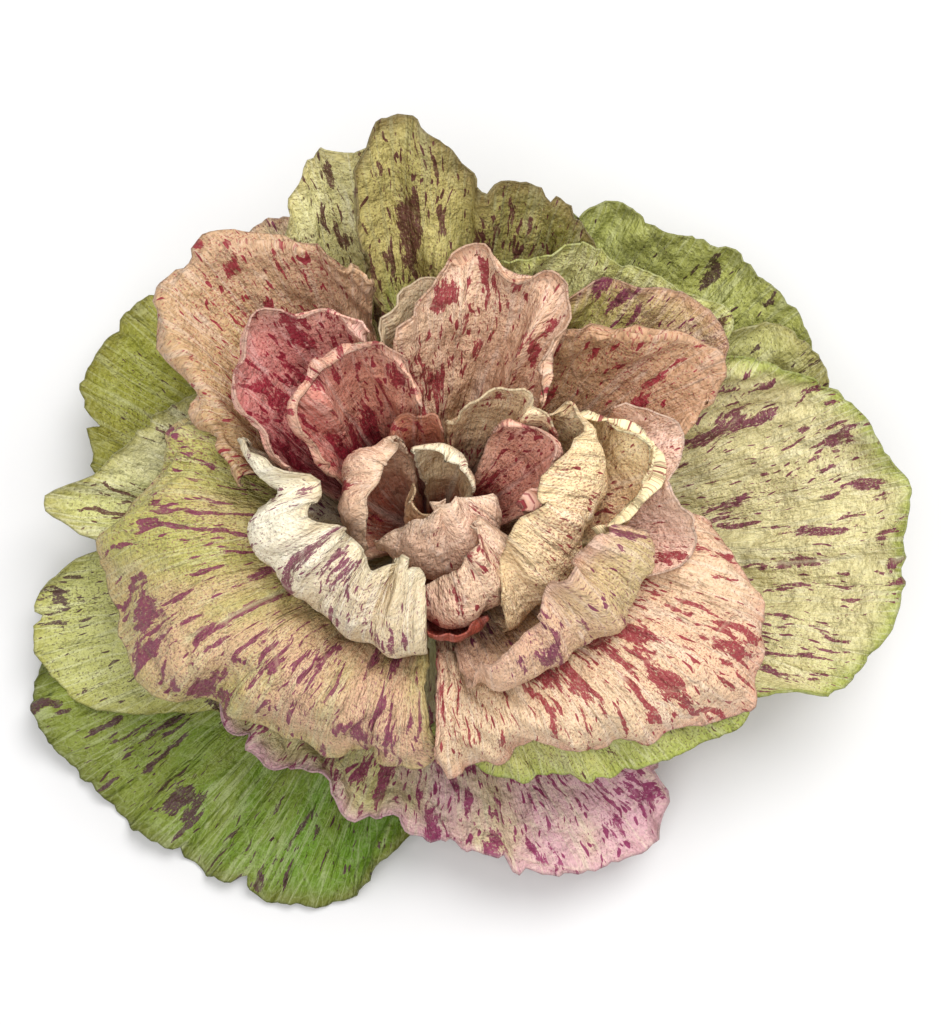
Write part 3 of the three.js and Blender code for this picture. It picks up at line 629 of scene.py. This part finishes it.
NET_CELLS = (5.0, 2.6, 8.0)  # rate across, rate along and shift
FAN_LINE = 0.035  # how near its middle value the fan's noise draws a vein
NET_LINE = 0.09  # how near a cell's edge the net is drawn
NET_STRENGTH = 0.45


def add_layer(tree, vector, across, along, shift, detail, roughness):
    return add_noise(tree, add_stretch(tree, vector, across, along, shift), 1.0, detail, roughness)


def add_strokes(tree, vector, stroke, amount, edge):
    """Strokes along the veins, 1 inside: edge frays them, and amount adds more of them."""
    size, bar, gain = stroke
    shift = 1.0 + size[0]
    field = add_layer(tree, vector, *size, shift, *STROKE_FINENESS)
    frayed = add_math(tree, "ADD", field, edge)
    level = add_math(tree, "SUBTRACT", bar, add_math(tree, "MULTIPLY", amount, gain))
    return add_step(tree, add_math(tree, "SUBTRACT", frayed, level), *STROKE_EDGE)


def make_streak_group():
    """Streaks along the veins as one mask: frayed blotches with pale flecks in them, dashes and specks."""
    group, entry, leave = new_group(
        "leaf_streaks",
        [("Vector", "NodeSocketVector", None), ("Crowd", "NodeSocketFloat", 0.0),
         ("Blotches", "NodeSocketFloat", 0.5), ("Dashes", "NodeSocketFloat", 0.5),
         ("Specks", "NodeSocketFloat", 0.5)],
        [("Streaks", "NodeSocketFloat"), ("Grain", "NodeSocketFloat")])
    vector = entry.outputs["Vector"]
    sway = add_sway(group, vector)
    patches = centred(group, add_layer(group, vector, *PATCH_LAYER), PATCH_DEPTH)
    fray = centred(group, add_layer(group, vector, *FRAY_LAYER), FRAY_DEPTH)
    crowd = add_math(group, "ADD", patches, entry.outputs["Crowd"])
    fringe = add_math(group, "ADD", fray, crowd)
    blotch = add_strokes(group, sway, BLOTCH, entry.outputs["Blotches"], fringe)
    long = add_strokes(group, sway, LONG_BLOTCH, entry.outputs["Blotches"], fringe)
    dash = add_strokes(group, sway, DASH, entry.outputs["Dashes"], crowd)
    speck = add_strokes(group, vector, SPECK, entry.outputs["Specks"], crowd)
    grain = add_layer(group, vector, *GRAIN_LAYER)
    flecks = add_math(group, "MULTIPLY", add_step(group, grain, *FLECK_LEVELS), FLECK_STRENGTH)
    streaks = add_math(group, "MAXIMUM", blotch, long)
    streaks = add_math(group, "SUBTRACT", streaks, flecks, True)
    streaks = add_math(group, "MAXIMUM", streaks, dash)
    streaks = add_math(group, "MAXIMUM", streaks, add_math(group, "MULTIPLY", speck, SPECK_STRENGTH))
    group.links.new(streaks, leave.inputs["Streaks"])
    group.links.new(grain, leave.inputs["Grain"])
    return group


def make_vein_group():
    """Fine veins that fan out from the foot, a net between them, and the blade's wrinkles for the bump."""
    group, entry, leave = new_group(
        "leaf_veins", [("Vector", "NodeSocketVector", None)],
        [("Veins", "NodeSocketFloat"), ("Height", "NodeSocketFloat")])
    vector = entry.outputs["Vector"]
    fan = add_layer(group, vector, *FAN_LAYER)
    off_line = add_math(group, "ABSOLUTE", add_math(group, "SUBTRACT", fan, 0.5))
    line = add_step(group, off_line, FAN_LINE, 0.0)
    cells = group.nodes.new("ShaderNodeTexVoronoi")
    cells.feature = "DISTANCE_TO_EDGE"
    cells.inputs["Scale"].default_value = 1.0
    group.links.new(add_stretch(group, vector, *NET_CELLS), cells.inputs["Vector"])
    net = add_step(group, cells.outputs["Distance"], NET_LINE, 0.0)
    veins = add_math(group, "MAXIMUM", line, add_math(group, "MULTIPLY", net, NET_STRENGTH))
    pleats = add_layer(group, vector, *PLEAT_LAYER)
    crumple = add_math(group, "MULTIPLY", add_layer(group, vector, *CRUMPLE_LAYER), CRUMPLE_DEPTH)
    height = add_math(group, "ADD", pleats, crumple)
    group.links.new(veins, leave.inputs["Veins"])
    group.links.new(height, leave.inputs["Height"])
    return group


STREAK_GROUP = make_streak_group()
VEIN_GROUP = make_vein_group()


def srgb(colour):
    """A colour given as 0 to 255 screen values, as the shader needs it: the standard sRGB curve."""
    shares = [value / 255.0 for value in colour]
    return tuple(v / 12.92 if v <= 0.04045 else ((v + 0.055) / 1.055) ** 2.4 for v in shares)


def place_group(tree, group, **sockets):
    node = tree.nodes.new("ShaderNodeGroup")
    node.node_tree = group
    for name, value in sockets.items():
        feed(tree, node.inputs[name], value)
    return node


# Levels of a leaf's masks between which an effect comes in, and how strong it gets
RIM_CROWD = -0.05  # how many more streaks stand along a leaf's very edge, here fewer
CROWD_LEVELS = (0.25, 0.95)
TURN_LEVELS = (0.1, 0.9)
RIM_LEVELS = (0.05, 0.9)
# In the heart leaves the foot's colour is a dark crimson, partly their own colour and partly painted shade of
# the hollows round the heart.
FOOT_START = (0.9, 0.7)  # where the foot's colour starts, and how far a longer reach moves that
FOOT_FULL = (1.1, 0.25)  # the same for where it is full
PALE_SHARE = 0.55  # a rib's colour: this share of the blade's, and so much white
PALE_LIFT = 115
RIB_LEVELS = (0.25, 0.9)
RIB_STRENGTH = 0.55
FINE_VEIN_STRENGTH = 0.38
SAND_LEVELS = (0.47, 0.62)
SAND_LIMIT = 1.15  # sand fades where the foot mask nears this
TAN_SHARE = 0.58  # of the rim's colour, for sand and for the dry edge
STREAK_STRENGTH = 0.92
EDGE_LEVELS = (0.84, 0.98)
EDGE_STRENGTH = 0.5
ROUGH_GRAIN = 0.2
ROUGH_LEAST = 0.42
LEAF_BUMP = 0.9
LEAF_BUMP_DEPTH = 3.2 * MM
LEAF_SPECULAR = 0.3


class Look:
    """A leaf's colours as screen values: at its foot, its first and last side, along its rim, its streaks. In
    the heart leaves the dark crimson at the foot is partly their own crimson and partly painted shade of the
    hollows round the heart.
    """

    def __init__(self, foot, first, last, rim, streak, amounts, sand, foot_and_shade_reach=1.0):
        self.foot = foot
        self.first = first
        self.last = last
        self.rim = rim
        self.streak = streak
        self.amounts = amounts  # of blotches, dashes and specks, mostly up to 1 and more where they crowd
        self.sand = sand  # how strong the tan grain is
        self.foot_and_shade_reach = foot_and_shade_reach  # above 1, the foot's colour, partly painted shade in the heart leaves, reaches farther along the leaf


def new_material(name):
    material = bpy.data.materials.new(name)
    material.use_nodes = True
    return material, material.node_tree, material.node_tree.nodes["Principled BSDF"]


def add_bump(tree, height, strength, depth):
    bump = tree.nodes.new("ShaderNodeBump")
    bump.inputs["Strength"].default_value = strength
    bump.inputs["Distance"].default_value = depth
    tree.links.new(height, bump.inputs["Height"])
    tree.links.new(bump.outputs["Normal"], tree.nodes["Principled BSDF"].inputs["Normal"])


def leaf_material(name, look, foot_crowd):
    """A leaf's finish: soft changes of colour, a foot colour that in the heart leaves is partly painted
    shade, pale veins, sand, streaks and a dry edge.
    """
    material, tree, shader = new_material(name)
    uv = tree.nodes.new("ShaderNodeUVMap")
    uv.uv_map = "spokes"
    vector = uv.outputs["UV"]
    masks = {}
    for mask in ("vein", "margin", "foot", "turn"):
        node = tree.nodes.new("ShaderNodeAttribute")
        node.attribute_name = mask
        masks[mask] = node.outputs["Fac"]
    blotches, dashes, specks = look.amounts
    crowd = add_math(tree, "MULTIPLY", add_step(tree, masks["foot"], *CROWD_LEVELS), foot_crowd)
    crowd = add_math(tree, "ADD", crowd, add_math(tree, "MULTIPLY", masks["margin"], RIM_CROWD))
    streaks = place_group(tree, STREAK_GROUP, Vector=vector, Crowd=crowd, Blotches=blotches, Dashes=dashes,
                          Specks=specks)
    veins = place_group(tree, VEIN_GROUP, Vector=vector)
    drift = centred(tree, add_layer(tree, vector, *CLOUD_LAYER), CLOUD_DEPTH)

    turned = add_step(tree, add_math(tree, "ADD", masks["turn"], drift), *TURN_LEVELS)
    colour = add_mix(tree, turned, srgb(look.first), srgb(look.last))
    rimmed = add_step(tree, add_math(tree, "ADD", masks["margin"], drift), *RIM_LEVELS)
    colour = add_mix(tree, rimmed, colour, srgb(look.rim))
    # Foot colour: in the heart leaves a dark crimson that is partly painted shade of the hollows.
    start, full = (level - change * look.foot_and_shade_reach for level, change in (FOOT_START, FOOT_FULL))
    foot_and_shade_amount = add_step(tree, add_math(tree, "ADD", masks["foot"], drift), start, full)
    colour = add_mix(tree, foot_and_shade_amount, colour, srgb(look.foot))
    pale = tuple(min(255, value * PALE_SHARE + PALE_LIFT) for value in look.first)
    rib = add_math(tree, "MULTIPLY", add_step(tree, masks["vein"], *RIB_LEVELS), RIB_STRENGTH)
    fine = add_math(tree, "MULTIPLY", veins.outputs["Veins"], FINE_VEIN_STRENGTH)
    colour = add_mix(tree, add_math(tree, "MAXIMUM", rib, fine), colour, srgb(pale))
    sandy = add_math(tree, "MULTIPLY", add_step(tree, streaks.outputs["Grain"], *SAND_LEVELS), look.sand)
    sandy = add_math(tree, "MULTIPLY", sandy, add_math(tree, "SUBTRACT", SAND_LIMIT, masks["foot"], True))
    tan = tuple(value * TAN_SHARE for value in look.rim)
    colour = add_mix(tree, sandy, colour, srgb(tan))
    off_vein = add_math(tree, "SUBTRACT", 1.0, rib)
    amount = add_math(tree, "MULTIPLY", streaks.outputs["Streaks"], off_vein)
    colour = add_mix(tree, add_math(tree, "MULTIPLY", amount, STREAK_STRENGTH), colour, srgb(look.streak))
    edge = add_math(tree, "MULTIPLY", add_step(tree, masks["margin"], *EDGE_LEVELS), EDGE_STRENGTH)
    colour = add_mix(tree, edge, colour, srgb(tan))

    tree.links.new(colour, shader.inputs["Base Color"])
    grain = add_math(tree, "MULTIPLY", streaks.outputs["Grain"], ROUGH_GRAIN)
    tree.links.new(add_math(tree, "ADD", grain, ROUGH_LEAST), shader.inputs["Roughness"])
    add_bump(tree, veins.outputs["Height"], LEAF_BUMP, LEAF_BUMP_DEPTH)
    shader.inputs["Specular IOR Level"].default_value = LEAF_SPECULAR
    return material


STEM_WHITE = (238, 232, 205)
STEM_CREAM = (214, 205, 160)
CUT_TAN = (196, 164, 118)
CUT_BROWN = (148, 108, 70)
STEM_GRAIN = (900.0, 4.0, 0.6)  # scale, detail and roughness
STEM_STAIN = (160.0, 3.0, 0.6)
STAIN_LEVELS = (0.4, 0.75)
CUT_HEIGHTS = (1.6 * MM, 0.2 * MM)  # between which the dried cut comes in
CUT_STRENGTH = 0.8
STEM_ROUGH_GRAIN = 0.3
STEM_ROUGH_LEAST = 0.4
STEM_BUMP = 0.4
STEM_BUMP_DEPTH = 0.4 * MM


def stem_material():
    """Cream with faint stains, and brown on the dried cut underneath."""
    material, tree, shader = new_material("stem")
    place = tree.nodes.new("ShaderNodeTexCoord").outputs["Object"]
    grain = add_noise(tree, place, *STEM_GRAIN)
    stain = add_noise(tree, place, *STEM_STAIN)
    height = tree.nodes.new("ShaderNodeSeparateXYZ")
    tree.links.new(place, height.inputs[0])
    cut = add_step(tree, height.outputs["Z"], *CUT_HEIGHTS)
    colour = add_mix(tree, add_step(tree, stain, *STAIN_LEVELS), srgb(STEM_WHITE), srgb(STEM_CREAM))
    dry = add_mix(tree, grain, srgb(CUT_TAN), srgb(CUT_BROWN))
    colour = add_mix(tree, add_math(tree, "MULTIPLY", cut, CUT_STRENGTH), colour, dry)
    tree.links.new(colour, shader.inputs["Base Color"])
    rough = add_math(tree, "MULTIPLY", grain, STEM_ROUGH_GRAIN)
    tree.links.new(add_math(tree, "ADD", rough, STEM_ROUGH_LEAST), shader.inputs["Roughness"])
    add_bump(tree, grain, STEM_BUMP, STEM_BUMP_DEPTH)
    return material


WINE = (116, 34, 74)
DARK_WINE = (72, 34, 50)
BROWN_WINE = (86, 36, 44)
CRIMSON = (140, 20, 46)
LILAC_WINE = (134, 34, 86)

GUARD = Habit(teeth=1.8, nicks=4.0, wave=3.6, blister=2.6, vein=0.9, hem=18.0, foot_crowd=-0.12)
OUTER = Habit(teeth=1.2, nicks=2.4, wave=3.2, blister=2.2, vein=0.7, hem=16.0, foot_crowd=-0.12)
TORN = Habit(teeth=2.2, nicks=4.0, wave=3.2, blister=2.2, vein=0.6, hem=16.0, foot_crowd=-0.1)
ROSE = Habit(teeth=1.1, nicks=2.2, wave=4.0, blister=1.9, vein=0.5, hem=13.0, foot_crowd=0.02)
HEART = Habit(teeth=1.1, nicks=2.0, wave=3.4, blister=1.6, vein=0.4, hem=10.0, foot_crowd=0.0)

# Leaf by leaf: how it grows and how it looks
# The heart leaves' dark crimson foot colours are partly their own crimson and partly painted shade of the
# hollows round the heart.
LEAVES = {
    "guard_front_left": (GUARD, Look((124, 168, 26), (126, 136, 54), (96, 134, 28), (104, 110, 42),
                                     DARK_WINE, (0.75, 0.8, 0.3), 0.25)),
    "guard_left": (GUARD, Look((180, 179, 75), (149, 151, 58), (168, 164, 73), (136, 132, 54),
                               DARK_WINE, (0.35, 0.7, 0.6), 0.3)),
    "guard_pale_left": (GUARD, Look((183, 193, 87), (198, 198, 124), (188, 188, 111), (169, 166, 87),
                                    DARK_WINE, (0.85, 0.8, 0.8), 0.35)),
    "guard_back_right": (GUARD, Look((200, 210, 122), (182, 184, 102), (186, 190, 108), (156, 158, 82),
                                     DARK_WINE, (0.5, 0.8, 0.5), 0.25)),
    "guard_right_back": (GUARD, Look((214, 214, 140), (200, 196, 128), (196, 194, 124), (176, 168, 104),
                                     DARK_WINE, (0.7, 0.8, 0.6), 0.3)),
    "outer_front": (TORN, Look((226, 224, 166), (210, 204, 134), (216, 170, 178), (208, 164, 168),
                               LILAC_WINE, (1.35, 1.4, 0.5), 0.35)),
    "back_left_small": (OUTER, Look((220, 200, 150), (222, 200, 160), (214, 186, 150), (206, 170, 140),
                                    WINE, (0.3, 0.6, 0.8), 0.4)),
    "outer_left": (OUTER, Look((190, 184, 104), (216, 210, 156), (196, 196, 122), (172, 166, 96),
                               BROWN_WINE, (0.9, 0.9, 0.5), 0.45)),
    "outer_right": (OUTER, Look((236, 206, 170), (222, 212, 156), (226, 214, 160), (170, 176, 90),
                                WINE, (0.9, 0.9, 0.45), 0.3, foot_and_shade_reach=0.8)),
    "outer_back_left": (OUTER, Look((222, 224, 124), (232, 226, 172), (222, 216, 146), (212, 200, 136),
                                    BROWN_WINE, (0.95, 1.2, 0.8), 0.4)),
    "outer_back": (TORN, Look((158, 176, 74), (104, 100, 30), (200, 186, 116), (142, 124, 76),
                              BROWN_WINE, (1.10, 1.3, 0.9), 0.35)),
    "outer_front_right": (OUTER, Look((196, 204, 130), (188, 184, 108), (176, 182, 98), (168, 176, 84),
                                      BROWN_WINE, (0.4, 0.6, 1.0), 0.4)),
    "outer_front_left": (OUTER, Look((206, 200, 116), (178, 172, 94), (212, 170, 138), (188, 164, 110),
                                     WINE, (1.20, 0.8, 0.9), 0.6)),
    "front_right": (OUTER, Look((230, 222, 172), (226, 196, 158), (228, 190, 154), (214, 166, 138),
                                CRIMSON, (1.15, 1.0, 0.8), 0.5)),
    "back_right_pale": (OUTER, Look((226, 224, 150), (220, 216, 146), (220, 218, 150), (194, 194, 112),
                                    BROWN_WINE, (0.5, 0.8, 0.9), 0.3)),
    "back_right_olive": (OUTER, Look((212, 213, 126), (223, 180, 147), (190, 186, 103), (201, 157, 122),
                                     WINE, (0.7, 1.1, 1.0), 0.5)),
    "left_back": (ROSE, Look((168, 173, 91), (204, 165, 131), (194, 161, 112), (198, 159, 122),
                             CRIMSON, (0.90, 1.2, 1.0), 0.55)),
    "right_back": (ROSE, Look((190, 160, 108), (192, 148, 114), (190, 152, 112), (200, 156, 120),
                              CRIMSON, (0.9, 1.0, 1.0), 0.5)),
    "right_mid": (ROSE, Look((206, 120, 104), (242, 198, 176), (244, 208, 186), (240, 202, 176),
                             CRIMSON, (0.7, 1.0, 1.0), 0.45)),
    "left_in": (ROSE, Look((142, 34, 54), (222, 152, 138), (196, 104, 106), (232, 184, 160),
                           CRIMSON, (1.40, 1.3, 0.9), 0.45, foot_and_shade_reach=1.25)),
    "back_cream": (ROSE, Look((224, 206, 150), (232, 216, 176), (230, 208, 172), (222, 196, 160),
                              CRIMSON, (0.1, 0.6, 1.0), 0.4)),
    "back_in": (ROSE, Look((216, 180, 132), (226, 184, 152), (236, 202, 168), (226, 182, 150),
                           CRIMSON, (1.00, 1.2, 0.9), 0.5)),
    "front_left_in": (HEART, Look((218, 208, 146), (248, 240, 214), (220, 198, 160), (234, 216, 178),
                                  WINE, (0.90, 1.0, 0.8), 0.35)),
    "left_heart": (ROSE, Look((134, 22, 44), (224, 160, 134), (204, 122, 112), (228, 176, 148),
                              CRIMSON, (1.30, 1.3, 0.9), 0.5, foot_and_shade_reach=1.25)),
    "front_right_in": (HEART, Look((206, 161, 116), (220, 179, 145), (206, 183, 129), (218, 174, 145),
                                   WINE, (0.80, 0.9, 1.0), 0.45)),
    "right_in": (ROSE, Look((171, 48, 62), (250, 210, 162), (250, 224, 171), (250, 232, 182),
                            CRIMSON, (0.9, 1.0, 1.0), 0.5)),
    "right_heart": (HEART, Look((164, 80, 69), (243, 214, 169), (247, 221, 171), (243, 212, 162),
                                CRIMSON, (0.4, 0.8, 1.2), 0.45)),
    "back_heart": (HEART, Look((140, 24, 40), (238, 210, 166), (236, 206, 164), (240, 214, 170),
                               CRIMSON, (0.8, 0.9, 1.0), 0.45, foot_and_shade_reach=1.3)),
    # shadow_front's dark brown-pink is partly its own pink and partly painted shade under the leaves that
    # overhang it.
    "shadow_front": (ROSE, Look((100, 22, 24), (164, 77, 62), (170, 80, 63), (180, 89, 71),
                                CRIMSON, (0.6, 1.0, 1.0), 0.4)),
    "front_fold": (HEART, Look((166, 68, 62), (246, 202, 172), (244, 210, 176), (244, 206, 172),
                               CRIMSON, (0.7, 0.9, 1.0), 0.45)),
    "right_bulge": (ROSE, Look((140, 36, 50), (232, 160, 140), (234, 168, 144), (238, 186, 160),
                               CRIMSON, (0.9, 1.0, 1.0), 0.4)),
    "small_back": (ROSE, Look((120, 30, 42), (192, 120, 100), (196, 128, 104), (204, 140, 112),
                              CRIMSON, (0.7, 1.0, 1.0), 0.4)),
    "heart_left": (HEART, Look((173, 88, 68), (233, 192, 162), (225, 182, 150), (233, 197, 164),
                               CRIMSON, (0.4, 0.7, 0.8), 0.35)),
    "heart_front": (HEART, Look((186, 88, 76), (250, 208, 178), (248, 204, 172), (250, 214, 182),
                                CRIMSON, (0.6, 0.8, 0.9), 0.4)),
    "heart_back": (HEART, Look((170, 88, 66), (246, 226, 186), (244, 222, 180), (248, 232, 196),
                               CRIMSON, (0.3, 0.5, 0.7), 0.3)),
    "heart_curl": (HEART, Look((180, 110, 76), (228, 192, 146), (224, 184, 138), (234, 200, 156),
                               CRIMSON, (0.3, 0.6, 0.8), 0.35)),
}
SEED_STEP = 3.7  # between one leaf's relief and streaks and the next one's


def add_leaves():
    for number, (node, (habit, look)) in enumerate(LEAVES.items()):
        leaf = leaf_piece(node, habit, SEED_STEP * number)
        leaf.data.materials.append(leaf_material(node + "_finish", look, habit.foot_crowd))
        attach(leaf, "root")
        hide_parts(node)


STEM_STEPS = 48


def add_stem():
    """The stem, turned from its solid's outline with a finer edge and a rough, dried cut."""
    low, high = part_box("stem")
    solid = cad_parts["stem"]
    rings = {}
    for v in solid.data.vertices:
        reach = math.hypot(v.co.x - AXIS.x, v.co.y - AXIS.y)
        level = round(v.co.z / MM, 1)
        rings[level] = max(reach, rings.get(level, 0.0))
    bm = bmesh.new()
    profile = [bm.verts.new((AXIS.x, AXIS.y, low.z))]
    for height in sorted(rings):
        profile.append(bm.verts.new((AXIS.x + rings[height], AXIS.y, height * MM)))
    edges = [bm.edges.new(pair) for pair in zip(profile, profile[1:])]
    bmesh.ops.spin(bm, geom=profile + edges, cent=AXIS, axis=(0, 0, 1), angle=math.tau, steps=STEM_STEPS,
                   use_merge=True)
    bmesh.ops.remove_doubles(bm, verts=bm.verts[:], dist=WELD)
    bmesh.ops.recalc_face_normals(bm, faces=bm.faces[:])
    for face in bm.faces:
        face.smooth = True
    stem = new_piece("cut_stem", bm)
    stem.data.materials.append(stem_material())
    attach(stem, "root")
    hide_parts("stem")


FLOOR_HALF_SIZE = 20.0
FLOOR_WHITE = (0.69, 0.685, 0.685, 1.0)
FLOOR_ROUGHNESS = 0.9
FLOOR_SPECULAR = 0.1


def add_floor():
    bm = bmesh.new()
    bmesh.ops.create_grid(bm, x_segments=1, y_segments=1, size=FLOOR_HALF_SIZE)
    floor = new_piece("floor", bm)
    material, _, shader = new_material("floor")
    shader.inputs["Base Color"].default_value = FLOOR_WHITE
    shader.inputs["Roughness"].default_value = FLOOR_ROUGHNESS
    shader.inputs["Specular IOR Level"].default_value = FLOOR_SPECULAR
    floor.data.materials.append(material)


# Lights: name, place in metres, diameter and power in watts
LIGHTS = (
    ("key", (0.4, 0.45, 1.4), 1.0, 16.5),
    ("fill", (-0.1, -0.45, 1.45), 0.9, 9.0),
)
LIGHT_AIM = Vector((0.0, 0.0, 0.05))
WORLD_WHITE = (1.0, 1.0, 1.0, 1.0)
WORLD_STRENGTH = 0.64


def add_light(name, place, size, power):
    light_data = bpy.data.lights.new(name, "AREA")
    light_data.shape = "DISK"
    light_data.size = size
    light_data.energy = power
    light = bpy.data.objects.new(name, light_data)
    bpy.context.scene.collection.objects.link(light)
    light.location = place
    light.rotation_euler = (LIGHT_AIM - Vector(place)).to_track_quat("-Z", "Y").to_euler()


def add_lights():
    for light in LIGHTS:
        add_light(*light)
    world = bpy.data.worlds.new("studio")
    world.use_nodes = True
    background = world.node_tree.nodes["Background"]
    background.inputs["Color"].default_value = WORLD_WHITE
    background.inputs["Strength"].default_value = WORLD_STRENGTH
    bpy.context.scene.world = world
    bpy.context.scene.view_settings.view_transform = "Standard"


add_camera()
add_leaves()
add_stem()
add_floor()
add_lights()
